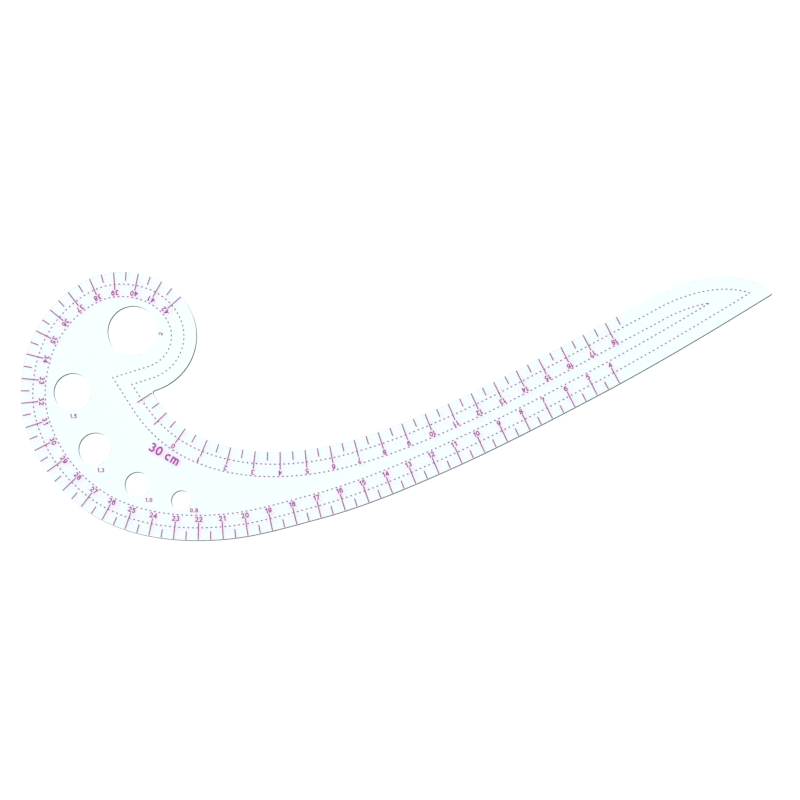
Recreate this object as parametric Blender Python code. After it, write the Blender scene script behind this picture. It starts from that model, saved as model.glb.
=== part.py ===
"""French curve: a flat clear acrylic drafting template with five circle holes.

Run it with blender --background --python part.py, or from the text editor.
Units are metres. +Z is up, +X runs from the hooked head to the blade's tip,
and the plate lies on the ground at z = 0.
"""

import math

import bmesh
import bpy
from mathutils import Vector
from mathutils.geometry import interpolate_bezier

MM = 0.001

SHEET_THICKNESS = 2.0 * MM
EDGE_BREAK = 0.2 * MM
LONGEST_STEP = 2.5 * MM
LARGEST_TURN = math.radians(8.0)
HOLE_SIDES = 48

# The drafting edge, clockwise from the notch under the head: x mm, y mm, heading in degrees.
OUTLINE = [
    (-96.5, 4.5, -57),
    (-75.6, -13.2, -23),
    (-38.6, -18.2, 5),
    (1.3, -8.1, 21),
    (50.3, 14.6, 28),
    (97.7, 40.1, 28),
    (108.3, 45.7, 23),
    (145.7, 48.2, -24),
    (149.9, 44.6, -46),
    (149.8, 43.8, -148),
    (80.9, 3.3, -152),
    (21.0, -26.7, -156),
    (-28.4, -45.3, -165),
    (-67.8, -53.7, -176),
    (-124.2, -40.8, 144),
    (-147.9, -8.3, 108),
    (-148.3, 20.6, 76),
    (-125.0, 50.6, 28),
    (-98.7, 52.1, -19),
    (-80.6, 21.9, -105),
    (-96.0, 6.3, -163),
]

# The circle template: diameter mm, centre x mm, centre y mm.
HOLES = [
    (20.0, -105.6, 30.3),
    (15.0, -129.2, 5.8),
    (13.0, -119.6, -17.2),
    (10.0, -102.1, -31.5),
    (8.0, -84.3, -38.0),
]


def heading_vector(degrees):
    angle = math.radians(degrees)
    return Vector((math.cos(angle), math.sin(angle)))


def outline_points():
    """Join the outline's knots with smooth curves that leave and arrive on their headings."""
    points = []
    for index, (x0, y0, h0) in enumerate(OUTLINE):
        x1, y1, h1 = OUTLINE[(index + 1) % len(OUTLINE)]
        start = Vector((x0, y0)) * MM
        end = Vector((x1, y1)) * MM
        turn = math.radians((h1 - h0 + 180) % 360 - 180)
        chord = (end - start).length
        reach = chord / (3 * math.cos(turn / 4) ** 2)
        leave = start + heading_vector(h0) * reach
        arrive = end - heading_vector(h1) * reach
        steps = math.ceil(max(chord / LONGEST_STEP, abs(turn) / LARGEST_TURN, 2))
        points.extend(interpolate_bezier(start, leave, arrive, end, steps + 1)[:-1])
    points = [Vector((p.x, p.y)) for p in points]
    return list(reversed(points))


def centred(points, holes):
    """Shift everything so that the middle of the outline's bounding box is at the origin."""
    middle_x = (min(p.x for p in points) + max(p.x for p in points)) / 2
    middle_y = (min(p.y for p in points) + max(p.y for p in points)) / 2
    middle = Vector((middle_x, middle_y))
    moved_points = [p - middle for p in points]
    moved_holes = [(d * MM, Vector((x, y)) * MM - middle) for d, x, y in holes]
    return moved_points, moved_holes


def circle_points(diameter, centre):
    """A hole's rim, clockwise, so that the material is on its left as on the outline."""
    rim = []
    for index in range(HOLE_SIDES):
        angle = -2 * math.pi * index / HOLE_SIDES
        rim.append(centre + Vector((math.cos(angle), math.sin(angle))) * diameter / 2)
    return rim


def inset_loop(loop, distance):
    """Move a closed loop into the material on its left."""
    inset = []
    count = len(loop)
    for index, point in enumerate(loop):
        along = (loop[(index + 1) % count] - loop[index - 1]).normalized()
        inset.append(point + Vector((-along.y, along.x)) * distance)
    return inset


def add_ring(mesh, loop, height):
    return [mesh.verts.new((p.x, p.y, height)) for p in loop]


def bridge_rings(mesh, lower, upper):
    """Wall faces between two rings of the same length, facing away from the material."""
    count = len(lower)
    for index in range(count):
        following = (index + 1) % count
        mesh.faces.new((lower[index], lower[following], upper[following], upper[index]))


def ring_edges(mesh, ring):
    return [mesh.edges.get((ring[index - 1], ring[index])) for index in range(len(ring))]


def build_plate():
    outline, holes = centred(outline_points(), HOLES)
    loops = [outline] + [circle_points(diameter, centre) for diameter, centre in holes]
    mesh = bmesh.new()
    bottom_edges = []
    top_edges = []
    for loop in loops:
        broken = inset_loop(loop, EDGE_BREAK)
        rings = [
            add_ring(mesh, broken, 0.0),
            add_ring(mesh, loop, EDGE_BREAK),
            add_ring(mesh, loop, SHEET_THICKNESS - EDGE_BREAK),
            add_ring(mesh, broken, SHEET_THICKNESS),
        ]
        for lower, upper in zip(rings, rings[1:]):
            bridge_rings(mesh, lower, upper)
        bottom_edges += ring_edges(mesh, rings[0])
        top_edges += ring_edges(mesh, rings[-1])
    bmesh.ops.triangle_fill(mesh, use_beauty=True, edges=bottom_edges)
    bmesh.ops.triangle_fill(mesh, use_beauty=True, edges=top_edges)
    bmesh.ops.recalc_face_normals(mesh, faces=mesh.faces)
    data = bpy.data.meshes.new("curve_plate")
    mesh.to_mesh(data)
    mesh.free()
    data.shade_smooth()
    data.set_sharp_from_angle(angle=math.radians(30))
    plate = bpy.data.objects.new("curve_plate", data)
    bpy.context.collection.objects.link(plate)
    return plate


def clear_acrylic():
    material = bpy.data.materials.new("clear_acrylic")
    material.use_nodes = True
    shader = material.node_tree.nodes["Principled BSDF"]
    shader.inputs["Base Color"].default_value = (0.80, 0.98, 0.99, 1.0)
    shader.inputs["Roughness"].default_value = 0.12
    shader.inputs["Metallic"].default_value = 0.0
    shader.inputs["IOR"].default_value = 1.49
    shader.inputs["Alpha"].default_value = 0.35
    return material


for leftover in list(bpy.data.objects):
    bpy.data.objects.remove(leftover, do_unlink=True)

curve_plate = build_plate()
curve_plate.data.materials.append(clear_acrylic())
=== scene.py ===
"""The looks of the french curve: clear acrylic, cut edges and screen-printed scales.

Lengths below are in millimetres until they meet Blender, which works in metres.
The drafting edge runs clockwise, so the material is always on its right.
"""

import math

import bmesh
import bpy
from mathutils import Matrix, Vector
from mathutils.geometry import delaunay_2d_cdt, interpolate_bezier, intersect_line_line_2d


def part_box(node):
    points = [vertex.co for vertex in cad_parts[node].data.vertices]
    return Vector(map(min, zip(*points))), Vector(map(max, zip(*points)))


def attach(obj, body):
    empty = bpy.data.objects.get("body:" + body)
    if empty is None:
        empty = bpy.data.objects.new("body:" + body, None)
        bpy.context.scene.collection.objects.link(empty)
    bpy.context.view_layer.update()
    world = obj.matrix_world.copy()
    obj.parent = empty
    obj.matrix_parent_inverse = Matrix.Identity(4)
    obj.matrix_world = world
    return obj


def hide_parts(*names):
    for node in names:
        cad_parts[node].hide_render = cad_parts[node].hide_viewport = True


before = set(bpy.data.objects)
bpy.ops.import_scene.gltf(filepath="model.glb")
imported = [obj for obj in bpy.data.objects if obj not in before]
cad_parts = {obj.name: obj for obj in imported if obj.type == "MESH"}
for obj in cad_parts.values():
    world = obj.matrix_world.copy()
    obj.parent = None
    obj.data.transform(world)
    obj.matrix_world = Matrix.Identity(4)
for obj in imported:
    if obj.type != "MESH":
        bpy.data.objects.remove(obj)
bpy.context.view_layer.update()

MM = 0.001

# The sheet and its ink fill the height of the CAD plate's box. The ink stands proud of the acrylic
# and sinks a little way into it, so that the two share no plane.
PLATE_LOW, PLATE_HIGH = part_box("curve_plate")
INK_TOP = PLATE_HIGH.z / MM
INK_PROUD = 0.02
INK_SINK = 0.01
PLATE_TOP = INK_TOP - INK_PROUD
PLATE_BOTTOM = PLATE_LOW.z / MM

# The edges are slightly rounded, with a narrow flat support beside the rounding to hold its shading.
EDGE_RADIUS = 0.05
EDGE_STEPS = 3
EDGE_SUPPORT = 0.03

# How finely curves are divided.
LONGEST_STEP = 0.6
LARGEST_TURN = math.radians(2.5)
FEWEST_STEPS = 4
HOLE_SIDES = 144

# The sheet's material slots.
POLISHED_SLOT = 0
CUT_SLOT = 1

# The drafting edge, clockwise from the notch under the head: x, y, heading in degrees.
OUTLINE = [
    (-96.5, 4.5, -57),
    (-75.6, -13.2, -23),
    (-38.6, -18.2, 5),
    (1.3, -8.1, 21),
    (50.3, 14.6, 28),
    (97.7, 40.1, 28),
    (108.3, 45.7, 23),
    (145.7, 48.2, -24),
    (149.9, 44.6, -46),
    (149.8, 43.8, -148),
    (80.9, 3.3, -152),
    (21.0, -26.7, -156),
    (-28.4, -45.3, -165),
    (-67.8, -53.7, -176),
    (-124.2, -40.8, 144),
    (-147.9, -8.3, 108),
    (-148.3, 20.6, 76),
    (-125.0, 50.6, 28),
    (-98.7, 52.1, -19),
    (-80.6, 21.9, -105),
    (-96.0, 6.3, -163),
]
INNER_EDGE = (0, 8)
TIP_NOSE = (8, 9)
OUTER_EDGE = (9, 20)
NOTCH_FILLET = (20, 21)

# The circle template: diameter, centre x, centre y.
HOLES = [
    (20.0, -105.6, 30.3),
    (15.0, -129.2, 5.8),
    (13.0, -119.6, -17.2),
    (10.0, -102.1, -31.5),
    (8.0, -84.3, -38.0),
]

# The centimetre scales. The mark that would read 0 lies this far along its edge, and a half-centimetre
# tick follows each mark up to the last half. The outer scale is measured along a line just inside its
# edge.
CENTIMETRE = 10.0
INNER_SCALE_ZERO = 19.1
INNER_MARKS = range(-2, 19)
INNER_LAST_HALF = 18
OUTER_SCALE_ZERO = 29.2
OUTER_SCALE_INSET = 0.3
OUTER_MARKS = range(4, 43)
OUTER_LAST_HALF = 41
TICK_INSET = 0.15
TICK_WIDTH = 0.46
TICK_LENGTH = 7.0
HALF_TICK_LENGTH = 3.4

# The numerals stand this far from the ends of their ticks.
NUMERAL_HEIGHT = 2.1
INNER_NUMERAL_GAP = 0.4
OUTER_NUMERAL_GAP = 0.2

# The dotted seam lines. Their dots lie a little lower than the ticks that they cross.
SEAM_ALLOWANCES = (5.0, 10.0)
DASH_PITCH = 1.85
DASH_LENGTH = 0.85
DASH_WIDTH = 0.52
DASH_SIDES = 12
DASH_SINK = 0.004

# The hole labels: text, centre x, centre y, direction of reading in degrees.
HOLE_LABEL_HEIGHT = 1.7
HOLE_LABELS = [
    ("2", -94.2, 29.0, 72),
    ("1.5", -128.6, -4.0, 0),
    ("1.3", -117.0, -25.8, 0),
    ("1.0", -97.4, -37.8, 0),
    ("0.8", -79.0, -42.0, 0),
]

# The length of the curve, printed along the belly.
SIZE_MARK = "30 cm"
SIZE_MARK_HEIGHT = 3.8
SIZE_MARK_CENTRE = (-91.5, -19.3)
SIZE_MARK_HEADING = -29

# Lettering is drawn in strokes on glyphs one unit tall. The pen runs half a weight inside the box.
NUMERAL_WEIGHT = 0.20
HOLE_LABEL_WEIGHT = 0.21
SIZE_MARK_WEIGHT = 0.18
GLYPH_WIDTH = 0.68
GLYPH_SPACING = 0.12
ARC_STEP_DEGREES = 15
FEWEST_ARC_STEPS = 2
SAME_POINT = 1e-6

# A mitre at a sharp bend is cut short here, or it would reach far out.
LEAST_MITRE_COSINE = 0.5

# For the triangulation: keep only what lies inside the strokes, and join points this close together.
INSIDE_ONLY = 1
JOIN_WITHIN = 1e-5

# The camera leans off the vertical towards the lower right. The picture spans the view's width at the
# target.
VIEW_LEAN = math.radians(13.0)
VIEW_TOWARDS = math.radians(-47.0)
VIEW_ROLL = math.radians(1.301)
VIEW_TARGET = (2.482, 2.182, 1.0)
VIEW_WIDTH = 316.82
LENS = 800.0
SENSOR = 36.0

ACRYLIC_IOR = 1.49

# What light keeps of its colour on its way through the sheet, and through the thin ink.
SHEET_TINT = (0.975, 0.998, 0.998)
INK_TINT = (0.98, 0.02, 0.70)

# Noise mostly falls between these values. The second pair gives a sharper change.
NOISE_SPREAD = (0.3, 0.7)
TONE_SPREAD = (0.35, 0.65)

# The two colours that noise moves between: in the sheet, in the lines across its cut edge, which
# multiply the painted shade bands below, and on the floor.
SHEET_COLOURS = ((0.885, 0.985, 0.985), (0.900, 0.992, 0.992))
STREAK_SHADES = ((0.70, 0.70, 0.70), (1.0, 1.0, 1.0))
FLOOR_SHADES = ((0.86, 0.86, 0.86), (0.87, 0.87, 0.87))

# The cut edge as light meets it from inside the sheet.
WITHIN_COLOUR = (0.9, 0.99, 0.99)
WITHIN_ROUGHNESS = 0.03

# The cut edge's grey, from the underside up, is painted shade; the sheet's two faces show in it as
# paler painted reflections.
PAINTED_EDGE_SHADE = [
    (0.00, (0.17, 0.19, 0.19)),
    (0.20, (0.13, 0.15, 0.15)),
    (0.38, (0.055, 0.065, 0.065)),
    (0.72, (0.045, 0.053, 0.053)),
    (0.86, (0.10, 0.115, 0.115)),
    (1.00, (0.12, 0.135, 0.135)),
]

# Each ink where it lies thin and where it covers fully, in order for the length mark, the numerals
# and hole labels, the ticks, and the seam lines.
MAGENTA = ((0.34, 0.012, 0.33), (0.28, 0.008, 0.28))
PURPLE = ((0.30, 0.014, 0.25), (0.25, 0.010, 0.21))
VIOLET = ((0.28, 0.080, 0.24), (0.23, 0.060, 0.20))
PLUM = ((0.21, 0.070, 0.15), (0.16, 0.050, 0.11))

FLOOR_SIZE = 20000.0
FLOOR_GAP = 0.1
ROOM_BRIGHTNESS = 1.12

# The softbox, in metres and watts.
SOFTBOX_SIZE = 1.6
SOFTBOX_POWER = 8.0
SOFTBOX_PLACE = (-1.0, 0.9, 1.6)


# ---------------------------------------------------------------- lines

def heading_vector(degrees):
    angle = math.radians(degrees)
    return Vector((math.cos(angle), math.sin(angle)))


def right_of(direction):
    return Vector((direction.y, -direction.x))


def outline_run(first, last):
    """Points along the drafting edge from one knot to another, both included.

    The reach makes each cubic curve follow a circular arc where the two knots allow one.
    """
    points = []
    for index in range(first, last):
        x0, y0, h0 = OUTLINE[index]
        x1, y1, h1 = OUTLINE[(index + 1) % len(OUTLINE)]
        start, end = Vector((x0, y0)), Vector((x1, y1))
        turn = math.radians((h1 - h0 + 180) % 360 - 180)
        chord = (end - start).length
        reach = chord / (3 * math.cos(turn / 4) ** 2)
        leave = start + heading_vector(h0) * reach
        arrive = end - heading_vector(h1) * reach
        steps = math.ceil(max(chord / LONGEST_STEP, abs(turn) / LARGEST_TURN, FEWEST_STEPS))
        points += interpolate_bezier(start, leave, arrive, end, steps + 1)[:-1]
    points.append(end)
    return [Vector((p.x, p.y)) for p in points]


def offset_line(points, distance, closed=False):
    """An open or closed line moved to its right, into the material."""
    last = len(points) - 1
    moved = []
    for index, point in enumerate(points):
        if closed:
            before = points[index - 1]
            after = points[0 if index == last else index + 1]
        else:
            before = points[max(index - 1, 0)]
            after = points[min(index + 1, last)]
        moved.append(point + right_of((after - before).normalized()) * distance)
    return moved


class Rail:
    """A line to measure along, which runs an inset inside the edge that it follows."""

    def __init__(self, edge, inset=0.0):
        self.points = offset_line(edge, inset)
        self.inset = inset
        self.distances = [0.0]
        for start, end in zip(self.points, self.points[1:]):
            self.distances.append(self.distances[-1] + (end - start).length)
        self.length = self.distances[-1]

    def at(self, distance):
        """The place and the direction at a distance along the line."""
        index = 1
        while index < len(self.points) - 1 and self.distances[index] < distance:
            index += 1
        start, end = self.points[index - 1], self.points[index]
        direction = (end - start).normalized()
        return start + direction * (distance - self.distances[index - 1]), direction

    def edge_at(self, distance):
        """The point of the edge beside that place, and the line's direction there."""
        point, direction = self.at(distance)
        return point - right_of(direction) * self.inset, direction


def trimmed_at_crossing(first, second):
    """Cut two lines where they cross: the first keeps its start and the second keeps its end."""
    for i in range(len(first) - 2, -1, -1):
        for j in range(len(second) - 1):
            crossing = intersect_line_line_2d(first[i], first[i + 1], second[j], second[j + 1])
            if crossing:
                return first[:i + 1] + [crossing], [crossing] + second[j + 1:]
    raise ValueError("the two lines do not cross")


def mitre_corner(first, second):
    """Where the straight extensions of the first line's end and the second line's start meet."""
    start = first[-1]
    start_along = (first[-1] - first[-2]).normalized()
    end_along = (second[0] - second[1]).normalized()
    gap = second[0] - start
    reach = gap.x * end_along.y - gap.y * end_along.x
    reach /= start_along.x * end_along.y - start_along.y * end_along.x
    return start + start_along * reach


# ---------------------------------------------------------------- the plate

def middle_of_outline(points):
    middle_x = (min(p.x for p in points) + max(p.x for p in points)) / 2
    middle_y = (min(p.y for p in points) + max(p.y for p in points)) / 2
    return Vector((middle_x, middle_y))


def hole_rim(diameter, centre):
    """A hole's rim, run anticlockwise, so that the material is on its right."""
    rim = []
    for index in range(HOLE_SIDES):
        angle = 2 * math.pi * index / HOLE_SIDES
        rim.append(centre + Vector((math.cos(angle), math.sin(angle))) * diameter / 2)
    return rim


def edge_profile():
    """Inset and height up a cut edge, from the underside's rim to the top's."""
    lower = []
    for step in range(EDGE_STEPS + 1):
        angle = math.pi / 2 * step / EDGE_STEPS
        inset = EDGE_RADIUS * (1 - math.sin(angle))
        lower.append((inset, PLATE_BOTTOM + EDGE_RADIUS * (1 - math.cos(angle))))
    lower.insert(0, (EDGE_RADIUS + EDGE_SUPPORT, PLATE_BOTTOM))
    upper = [(inset, PLATE_BOTTOM + PLATE_TOP - height) for inset, height in reversed(lower)]
    return lower + upper


def add_ring(mesh, loop, height):
    return [mesh.verts.new((p.x * MM, p.y * MM, height * MM)) for p in loop]


def ring_edges(mesh, ring):
    return [mesh.edges.get((ring[index - 1], ring[index])) for index in range(len(ring))]


def build_plate(outline, holes):
    """The sheet: a wall with rounded edges round the outline and each hole, and two filled faces."""
    wall_band = EDGE_STEPS + 1
    mesh = bmesh.new()
    bottom_edges = []
    top_edges = []
    for loop in [outline] + [hole_rim(diameter, centre) for diameter, centre in holes]:
        rings = []
        for inset, height in edge_profile():
            rings.append(add_ring(mesh, offset_line(loop, inset, closed=True), height))
        for band, (lower, upper) in enumerate(zip(rings, rings[1:])):
            for index in range(len(loop)):
                face = mesh.faces.new((lower[index - 1], lower[index], upper[index], upper[index - 1]))
                face.material_index = CUT_SLOT if band == wall_band else POLISHED_SLOT
        bottom_edges += ring_edges(mesh, rings[0])
        top_edges += ring_edges(mesh, rings[-1])
    bmesh.ops.triangle_fill(mesh, use_beauty=True, edges=bottom_edges)
    bmesh.ops.triangle_fill(mesh, use_beauty=True, edges=top_edges)
    bmesh.ops.recalc_face_normals(mesh, faces=mesh.faces)
    return piece_from(mesh, "acrylic_sheet")


def piece_from(mesh, name, smooth=True):
    data = bpy.data.meshes.new(name)
    mesh.to_mesh(data)
    mesh.free()
    if smooth:
        data.shade_smooth()
    piece = bpy.data.objects.new(name, data)
    bpy.context.scene.collection.objects.link(piece)
    return piece


# ---------------------------------------------------------------- the print

def add_shape(mesh, points, height):
    """A flat printed shape that faces up; its ink's thickness comes with the whole piece."""
    corners = [mesh.verts.new((p.x * MM, p.y * MM, height * MM)) for p in points]
    mesh.faces.new(corners)


def add_tick(mesh, edge_point, along, length):
    inward = right_of(along)
    start = edge_point + inward * TICK_INSET
    end = edge_point + inward * (TICK_INSET + length)
    half = along * TICK_WIDTH / 2
    add_shape(mesh, [start - half, start + half, end + half, end - half], INK_TOP)


def arc(x, y, radius_x, radius_y, first, last):
    """Points along an ellipse, from one angle in degrees to another."""
    steps = max(FEWEST_ARC_STEPS, round(abs(last - first) / ARC_STEP_DEGREES))
    points = []
    for step in range(steps + 1):
        angle = math.radians(first + (last - first) * step / steps)
        points.append(Vector((x + radius_x * math.cos(angle), y + radius_y * math.sin(angle))))
    return points


def stroke_through(*places):
    return [Vector(place) for place in places]


def glyph_strokes(character, pen):
    """The width of a character and the middle lines of its strokes, for a pen of a given weight.

    The numbers are places and sizes on a box one unit tall.
    """
    low, high, left = pen / 2, 1 - pen / 2, pen / 2
    right = GLYPH_WIDTH - pen / 2
    middle, half = GLYPH_WIDTH / 2, (right - left) / 2
    waist = 0.53
    if character == "0":
        return GLYPH_WIDTH, [arc(middle, 0.5, half, high - 0.5, 0, 360)]
    if character == "1":
        stem = 0.42
        flag = stroke_through((0.16, 0.74), (0.30, 0.80), (stem - 0.01, 0.97))
        return 0.52, [flag, stroke_through((stem, 0), (stem, 1))]
    if character == "2":
        bow = arc(middle, high - 0.26, half - 0.02, 0.26, 170, -25)
        return GLYPH_WIDTH, [bow + stroke_through((left + 0.04, low), (GLYPH_WIDTH, low))]
    if character == "3":
        upper = arc(middle - 0.02, (high + waist) / 2, half - 0.05, (high - waist) / 2, 160, -90)
        lower = arc(middle - 0.02, (low + waist) / 2, half, (waist - low) / 2, 90, -160)
        return GLYPH_WIDTH, [upper, lower]
    if character == "4":
        stem = 0.50
        slope = stroke_through((stem, high - 0.03), (left, 0.30), (GLYPH_WIDTH + 0.02, 0.30))
        return GLYPH_WIDTH, [slope, stroke_through((stem, 0), (stem, 1))]
    if character == "5":
        neck = stroke_through((0.62, high), (0.17, high), (0.10, 0.50))
        return GLYPH_WIDTH, [neck + arc(middle - 0.03, 0.26 + low, half, 0.27, 135, -155)]
    if character == "6":
        bowl = arc(middle, 0.25 + low, half, 0.25, 0, 360)
        return GLYPH_WIDTH, [bowl, arc(middle + 0.01, 0.45, half + 0.01, high - 0.45, 190, 35)]
    if character == "7":
        return GLYPH_WIDTH, [stroke_through((0, high), (right, high), (0.40, 0.50), (0.26, 0))]
    if character == "8":
        upper = arc(middle, (high + waist) / 2, half - 0.03, (high - waist) / 2, 0, 360)
        return GLYPH_WIDTH, [upper, arc(middle, (low + waist) / 2, half, (waist - low) / 2, 0, 360)]
    if character == "9":
        width, strokes = glyph_strokes("6", pen)
        return width, [[Vector((GLYPH_WIDTH - p.x, 1 - p.y)) for p in stroke] for stroke in strokes]
    if character == ".":
        return 0.32, [stroke_through((0.16, 0), (0.16, pen * 1.2))]
    if character == "c":
        return 0.6, [arc(0.33, 0.37, 0.33 - left, 0.37 - low, 45, 315)]
    if character == "m":
        stem, span = 0.74, 0.34
        strokes = [stroke_through((left, 0), (left, stem))]
        for start in (left, left + span):
            hump = arc(start + span / 2, stem - span / 2 - low, span / 2, span / 2, 180, 0)
            strokes.append(hump + stroke_through((start + span, 0)))
        return span * 2 + pen, strokes
    if character == " ":
        return 0.25, []
    raise ValueError("no strokes are drawn for " + character)


def ribbon(path, pen):
    """Corners to the left and right of a stroke's middle line, mitred where it bends."""
    last = len(path) - 1
    closed = (path[0] - path[last]).length < SAME_POINT
    sides = []
    for index, point in enumerate(path):
        arriving = (point - path[index - 1 if index > 0 else last - 1]).normalized()
        leaving = (path[index + 1 if index < last else 1] - point).normalized()
        if index == 0 and not closed:
            arriving = leaving
        if index == last and not closed:
            leaving = arriving
        along = (arriving + leaving).normalized()
        reach = pen / 2 / max(along.dot(leaving), LEAST_MITRE_COSINE)
        sides.append((point - right_of(along) * reach, point + right_of(along) * reach))
    return sides


def text_faces(text, pen):
    """The inked areas of some text as triangles, joined into one flat shape and centred."""
    corners = []
    quads = []
    cursor = 0.0
    for character in text:
        width, strokes = glyph_strokes(character, pen)
        for stroke in strokes:
            sides = ribbon(stroke, pen)
            for (a, b), (c, d) in zip(sides, sides[1:]):
                first = len(corners)
                corners += [point + Vector((cursor, 0)) for point in (a, b, d, c)]
                quads.append((first, first + 1, first + 2, first + 3))
        cursor += width + GLYPH_SPACING
    middle = Vector(((cursor - GLYPH_SPACING) / 2, 0.5))
    joined = delaunay_2d_cdt(corners, [], quads, INSIDE_ONLY, JOIN_WITHIN)
    points, _, triangles, _, _, sources = joined
    inked = [triangle for triangle, source in zip(triangles, sources) if source]
    return [p - middle for p in points], inked


def add_text(mesh, text, height, pen, centre, reading):
    """Lay text flat on the plate, centred, reading along a direction."""
    points, triangles = text_faces(text, pen)
    upward = -right_of(reading)
    corners = []
    for point in points:
        place = centre + (reading * point.x + upward * point.y) * height
        corners.append(mesh.verts.new((place.x * MM, place.y * MM, INK_TOP * MM)))
    for triangle in triangles:
        mesh.faces.new([corners[index] for index in triangle])


def ink_piece(mesh, name):
    """Give the flat printed shapes the thickness of their ink, sunk into the acrylic's face."""
    loose = [vert for vert in mesh.verts if not vert.link_faces]
    bmesh.ops.delete(mesh, geom=loose, context="VERTS")
    mesh.normal_update()
    bmesh.ops.reverse_faces(mesh, faces=[face for face in mesh.faces if face.normal.z < 0])
    piece = piece_from(mesh, name, smooth=False)
    film = piece.modifiers.new("ink_film", "SOLIDIFY")
    film.thickness = (INK_PROUD + INK_SINK) * MM
    film.offset = -1.0
    return piece


def scale_pieces(name, rail, zero, marks, last_half, gap):
    """A centimetre scale along an edge: one piece of ticks and one of numerals."""
    ticks = bmesh.new()
    numerals = bmesh.new()
    for mark in marks:
        point, along = rail.edge_at(zero + mark * CENTIMETRE)
        add_tick(ticks, point, along, TICK_LENGTH)
        if mark <= last_half:
            half_point, half_along = rail.edge_at(zero + (mark + 0.5) * CENTIMETRE)
            add_tick(ticks, half_point, half_along, HALF_TICK_LENGTH)
        if mark >= 0:
            inward = right_of(along)
            depth = TICK_INSET + TICK_LENGTH + gap + NUMERAL_HEIGHT / 2
            centre = point + inward * depth
            add_text(numerals, str(mark), NUMERAL_HEIGHT, NUMERAL_WEIGHT, centre, right_of(inward))
    return [ink_piece(ticks, name + "_ticks"), ink_piece(numerals, name + "_numerals")]


def seam_loop(inner_run, outer_run, allowance):
    """A closed line this far inside the edge, mitred at the notch and pointed at the tip."""
    inner = offset_line(inner_run, allowance)
    outer = offset_line(outer_run, allowance)
    inner, outer = trimmed_at_crossing(inner, outer)
    corner = mitre_corner(outer, inner)
    return [corner] + inner + outer[1:] + [corner]


def seam_piece(allowance, inner_run, outer_run):
    rail = Rail(seam_loop(inner_run, outer_run, allowance))
    count = round(rail.length / DASH_PITCH)
    dashes = bmesh.new()
    for index in range(count):
        centre, along = rail.at(rail.length * index / count)
        across = right_of(along)
        dash = []
        for side in range(DASH_SIDES):
            angle = 2 * math.pi * side / DASH_SIDES
            out = along * (math.cos(angle) * DASH_LENGTH / 2)
            dash.append(centre + out + across * (math.sin(angle) * DASH_WIDTH / 2))
        add_shape(dashes, dash, INK_TOP - DASH_SINK)
    return ink_piece(dashes, f"seam_line_{allowance:.0f}mm")


def hole_label_piece(shift):
    mesh = bmesh.new()
    for text, x, y, heading in HOLE_LABELS:
        centre = Vector((x, y)) + shift
        add_text(mesh, text, HOLE_LABEL_HEIGHT, HOLE_LABEL_WEIGHT, centre, heading_vector(heading))
    return ink_piece(mesh, "hole_size_labels")


def size_mark_piece(shift):
    mesh = bmesh.new()
    centre = Vector(SIZE_MARK_CENTRE) + shift
    reading = heading_vector(SIZE_MARK_HEADING)
    add_text(mesh, SIZE_MARK, SIZE_MARK_HEIGHT, SIZE_MARK_WEIGHT, centre, reading)
    return ink_piece(mesh, "length_mark")


# ---------------------------------------------------------------- materials

def new_material(name):
    material = bpy.data.materials.new(name)
    material.use_nodes = True
    return material, material.node_tree, material.node_tree.nodes["Principled BSDF"]


def add_noise(tree, scale, detail, stretch=(1, 1, 1)):
    """Noise in the object's own metres, stretched along the axes."""
    place = tree.nodes.new("ShaderNodeTexCoord")
    mapping = tree.nodes.new("ShaderNodeMapping")
    mapping.inputs["Scale"].default_value = stretch
    noise = tree.nodes.new("ShaderNodeTexNoise")
    noise.inputs["Scale"].default_value = scale
    noise.inputs["Detail"].default_value = detail
    tree.links.new(place.outputs["Object"], mapping.inputs["Vector"])
    tree.links.new(mapping.outputs["Vector"], noise.inputs["Vector"])
    return noise.outputs["Fac"]


def add_range(tree, value, low, high):
    """Spread noise over a range."""
    spread = tree.nodes.new("ShaderNodeMapRange")
    spread.inputs["From Min"].default_value = NOISE_SPREAD[0]
    spread.inputs["From Max"].default_value = NOISE_SPREAD[1]
    spread.inputs["To Min"].default_value = low
    spread.inputs["To Max"].default_value = high
    tree.links.new(value, spread.inputs["Value"])
    return spread.outputs["Result"]


def add_two_tone(tree, value, *colours):
    """Noise as a change between two colours."""
    ramp = tree.nodes.new("ShaderNodeValToRGB")
    for stop, position, colour in zip(ramp.color_ramp.elements, TONE_SPREAD, colours):
        stop.position = position
        stop.color = (*colour, 1)
    tree.links.new(value, ramp.inputs["Fac"])
    return ramp.outputs["Color"]


def add_height(tree, low, high):
    """Height in the object, from 0 at low to 1 at high."""
    place = tree.nodes.new("ShaderNodeTexCoord")
    axes = tree.nodes.new("ShaderNodeSeparateXYZ")
    spread = tree.nodes.new("ShaderNodeMapRange")
    spread.inputs["From Min"].default_value = low
    spread.inputs["From Max"].default_value = high
    tree.links.new(place.outputs["Object"], axes.inputs["Vector"])
    tree.links.new(axes.outputs["Z"], spread.inputs["Value"])
    return spread.outputs["Result"]


def add_bands(tree, value, bands):
    """A run of colours at positions from 0 to 1. A new stop starts anywhere, and then gets its own."""
    ramp = tree.nodes.new("ShaderNodeValToRGB")
    ramp.color_ramp.interpolation = "EASE"
    stops = ramp.color_ramp.elements
    while len(stops) < len(bands):
        stops.new(0.5)
    for stop, (position, colour) in zip(stops, bands):
        stop.position = position
        stop.color = (*colour, 1)
    tree.links.new(value, ramp.inputs["Fac"])
    return ramp.outputs["Color"]


def add_bump(tree, height, depth, strength):
    """Small relief, at most this deep in metres."""
    bump = tree.nodes.new("ShaderNodeBump")
    bump.inputs["Strength"].default_value = strength
    bump.inputs["Distance"].default_value = depth
    tree.links.new(height, bump.inputs["Height"])
    return bump.outputs["Normal"]


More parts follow.
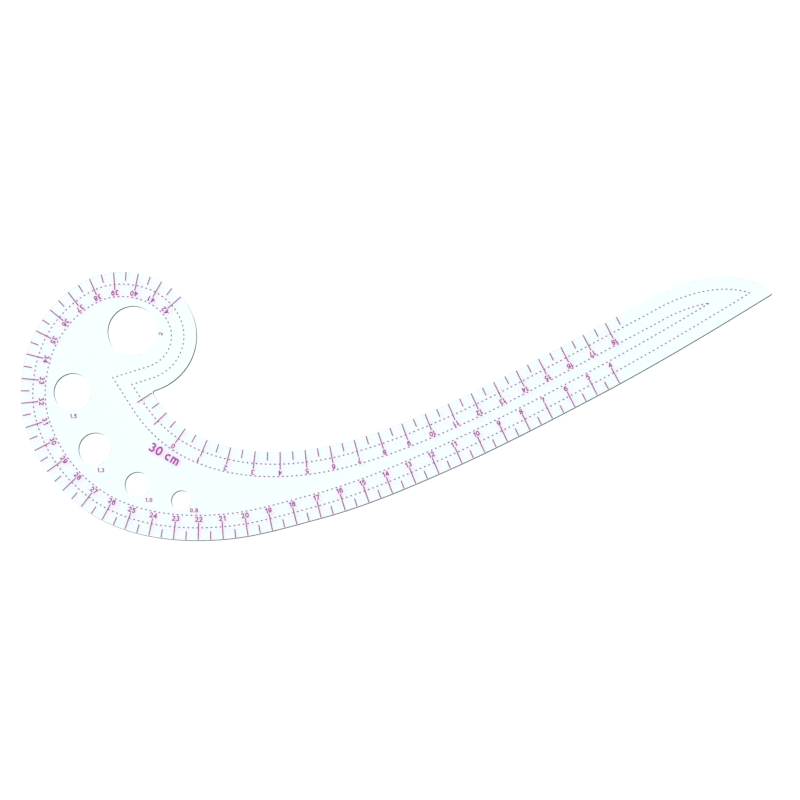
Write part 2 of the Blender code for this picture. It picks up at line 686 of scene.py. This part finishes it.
def let_light_through(tree, surface, tint):
    """Lamps and bounced light pass straight through, tinted, while the eye sees the surface itself."""
    path = tree.nodes.new("ShaderNodeLightPath")
    either = tree.nodes.new("ShaderNodeMath")
    either.operation = "MAXIMUM"
    tree.links.new(path.outputs["Is Shadow Ray"], either.inputs[0])
    tree.links.new(path.outputs["Is Diffuse Ray"], either.inputs[1])
    clear = tree.nodes.new("ShaderNodeBsdfTransparent")
    clear.inputs["Color"].default_value = (*tint, 1)
    mix = tree.nodes.new("ShaderNodeMixShader")
    tree.links.new(either.outputs[0], mix.inputs["Fac"])
    tree.links.new(surface, mix.inputs[1])
    tree.links.new(clear.outputs["BSDF"], mix.inputs[2])
    tree.links.new(mix.outputs["Shader"], tree.nodes["Material Output"].inputs["Surface"])


def clear_acrylic():
    """Polished acrylic, faintly cyan, with a slow cast waviness and fine handling marks."""
    material, tree, shader = new_material("clear_acrylic_polished")
    shader.inputs["IOR"].default_value = ACRYLIC_IOR
    shader.inputs["Transmission Weight"].default_value = 1.0
    tint = add_noise(tree, scale=12, detail=2)
    tree.links.new(add_two_tone(tree, tint, *SHEET_COLOURS), shader.inputs["Base Color"])
    marks = add_noise(tree, scale=900, detail=4, stretch=(1, 0.15, 1))
    tree.links.new(add_range(tree, marks, low=0.01, high=0.05), shader.inputs["Roughness"])
    waves = add_noise(tree, scale=60, detail=1)
    tree.links.new(add_bump(tree, waves, depth=0.0001, strength=0.2), shader.inputs["Normal"])
    let_light_through(tree, shader.outputs["BSDF"], SHEET_TINT)
    return material


def cut_acrylic():
    """The cut edge: satin, with fine lines across the cut, and a mirror from within.

    From outside its grey is painted shade, with paler painted reflections of the two faces.
    """
    material, tree, shader = new_material("clear_acrylic_cut")
    shader.inputs["Specular IOR Level"].default_value = 0.0
    lines = add_noise(tree, scale=1500, detail=3, stretch=(1, 1, 0.05))
    streaks = add_two_tone(tree, lines, *STREAK_SHADES)
    height = add_height(tree, PLATE_BOTTOM * MM, PLATE_TOP * MM)
    shade = tree.nodes.new("ShaderNodeMix")
    shade.data_type = "RGBA"
    shade.blend_type = "MULTIPLY"
    shade.inputs["Factor"].default_value = 1.0
    # The base colour is painted shade with paler painted reflections, crossed by the cut's fine lines.
    tree.links.new(add_bands(tree, height, PAINTED_EDGE_SHADE), shade.inputs["A"])
    tree.links.new(streaks, shade.inputs["B"])
    tree.links.new(shade.outputs["Result"], shader.inputs["Base Color"])
    tree.links.new(add_range(tree, lines, low=0.25, high=0.4), shader.inputs["Roughness"])
    tree.links.new(add_bump(tree, lines, depth=0.00002, strength=0.5), shader.inputs["Normal"])
    within = tree.nodes.new("ShaderNodeBsdfPrincipled")
    within.inputs["Base Color"].default_value = (*WITHIN_COLOUR, 1)
    within.inputs["IOR"].default_value = ACRYLIC_IOR
    within.inputs["Transmission Weight"].default_value = 1.0
    within.inputs["Roughness"].default_value = WITHIN_ROUGHNESS
    # The painted shade shows only from outside; from within, the edge is clear acrylic.
    side = tree.nodes.new("ShaderNodeNewGeometry")
    mix = tree.nodes.new("ShaderNodeMixShader")
    tree.links.new(side.outputs["Backfacing"], mix.inputs["Fac"])
    tree.links.new(shader.outputs["BSDF"], mix.inputs[1])
    tree.links.new(within.outputs["BSDF"], mix.inputs[2])
    let_light_through(tree, mix.outputs["Shader"], SHEET_TINT)
    return material


def printed_ink(name, thin, full):
    """Screen-printed ink, slightly uneven between two strengths of its colour, with a dry surface."""
    material, tree, shader = new_material(name)
    cover = add_noise(tree, scale=2500, detail=3)
    tree.links.new(add_two_tone(tree, cover, thin, full), shader.inputs["Base Color"])
    tree.links.new(add_range(tree, cover, low=0.4, high=0.6), shader.inputs["Roughness"])
    tree.links.new(add_bump(tree, cover, depth=0.000005, strength=0.5), shader.inputs["Normal"])
    let_light_through(tree, shader.outputs["BSDF"], INK_TINT)
    return material


def studio_floor():
    """A plain white floor with a very faint grain."""
    material, tree, shader = new_material("studio_floor_white")
    grain = add_noise(tree, scale=400, detail=2)
    tree.links.new(add_two_tone(tree, grain, *FLOOR_SHADES), shader.inputs["Base Color"])
    shader.inputs["Roughness"].default_value = 0.9
    shader.inputs["Specular IOR Level"].default_value = 0.2
    return material


# ---------------------------------------------------------------- stage

def build_floor():
    mesh = bmesh.new()
    bmesh.ops.create_grid(mesh, x_segments=1, y_segments=1, size=FLOOR_SIZE * MM / 2)
    floor = piece_from(mesh, "studio_floor", smooth=False)
    floor.location.z = -FLOOR_GAP * MM
    floor.data.materials.append(studio_floor())


def build_light():
    """An even white room with one faint softbox."""
    world = bpy.data.worlds.new("studio")
    world.use_nodes = True
    background = world.node_tree.nodes["Background"]
    background.inputs["Color"].default_value = (1.0, 1.0, 1.0, 1.0)
    background.inputs["Strength"].default_value = ROOM_BRIGHTNESS
    bpy.context.scene.world = world
    softbox = bpy.data.lights.new("softbox", "AREA")
    softbox.shape = "SQUARE"
    softbox.size = SOFTBOX_SIZE
    softbox.energy = SOFTBOX_POWER
    lamp = bpy.data.objects.new("softbox", softbox)
    lamp.location = SOFTBOX_PLACE
    lamp.rotation_euler = (-lamp.location).to_track_quat("-Z", "Y").to_euler()
    bpy.context.scene.collection.objects.link(lamp)


def build_camera():
    """A long lens that looks along the lean, with north up apart from the roll."""
    outward = Vector((
        math.sin(VIEW_LEAN) * math.cos(VIEW_TOWARDS),
        math.sin(VIEW_LEAN) * math.sin(VIEW_TOWARDS),
        math.cos(VIEW_LEAN),
    ))
    north = Vector((0, 1, 0))
    up = (north - outward * north.dot(outward)).normalized()
    right = up.cross(outward)
    facing = Matrix((right, up, outward)).transposed() @ Matrix.Rotation(VIEW_ROLL, 3, "Z")
    distance = VIEW_WIDTH * LENS / SENSOR
    lens = bpy.data.cameras.new("camera")
    lens.lens = LENS
    lens.sensor_width = SENSOR
    lens.clip_start = 0.1
    lens.clip_end = 100.0
    camera = bpy.data.objects.new("camera", lens)
    place = (Vector(VIEW_TARGET) + outward * distance) * MM
    camera.matrix_world = Matrix.Translation(place) @ facing.to_4x4()
    bpy.context.scene.collection.objects.link(camera)
    bpy.context.scene.camera = camera


# ---------------------------------------------------------------- assembly

bpy.context.scene.view_settings.view_transform = "Standard"

edge_loop = []
for run in (INNER_EDGE, TIP_NOSE, OUTER_EDGE, NOTCH_FILLET):
    edge_loop += outline_run(*run)[:-1]
shift = -middle_of_outline(edge_loop)
outline = [p + shift for p in edge_loop]
holes = [(diameter, Vector((x, y)) + shift) for diameter, x, y in HOLES]
inner_run = [p + shift for p in outline_run(*INNER_EDGE)]
outer_run = [p + shift for p in outline_run(*OUTER_EDGE)]

sheet = build_plate(outline, holes)
sheet.data.materials.append(clear_acrylic())
sheet.data.materials.append(cut_acrylic())
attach(sheet, "root")
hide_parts("curve_plate")

inner_rail = Rail(inner_run)
outer_rail = Rail(outer_run, OUTER_SCALE_INSET)
print_pieces = scale_pieces(
    "inner_scale", inner_rail, INNER_SCALE_ZERO, INNER_MARKS, INNER_LAST_HALF, INNER_NUMERAL_GAP)
print_pieces += scale_pieces(
    "outer_scale", outer_rail, OUTER_SCALE_ZERO, OUTER_MARKS, OUTER_LAST_HALF, OUTER_NUMERAL_GAP)
print_pieces += [seam_piece(allowance, inner_run, outer_run) for allowance in SEAM_ALLOWANCES]
print_pieces += [hole_label_piece(shift), size_mark_piece(shift)]
magenta = printed_ink("printed_ink_magenta", *MAGENTA)
purple = printed_ink("printed_ink_purple", *PURPLE)
violet = printed_ink("printed_ink_violet", *VIOLET)
plum = printed_ink("printed_ink_plum", *PLUM)
# The last word of a piece's name picks its ink, and the seam lines are plum.
coats = {"ticks": violet, "numerals": purple, "labels": purple, "mark": magenta}
for piece in print_pieces:
    kind = piece.name.split("_")[-1]
    piece.data.materials.append(coats.get(kind, plum))
    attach(piece, "root")

build_floor()
build_light()
build_camera()
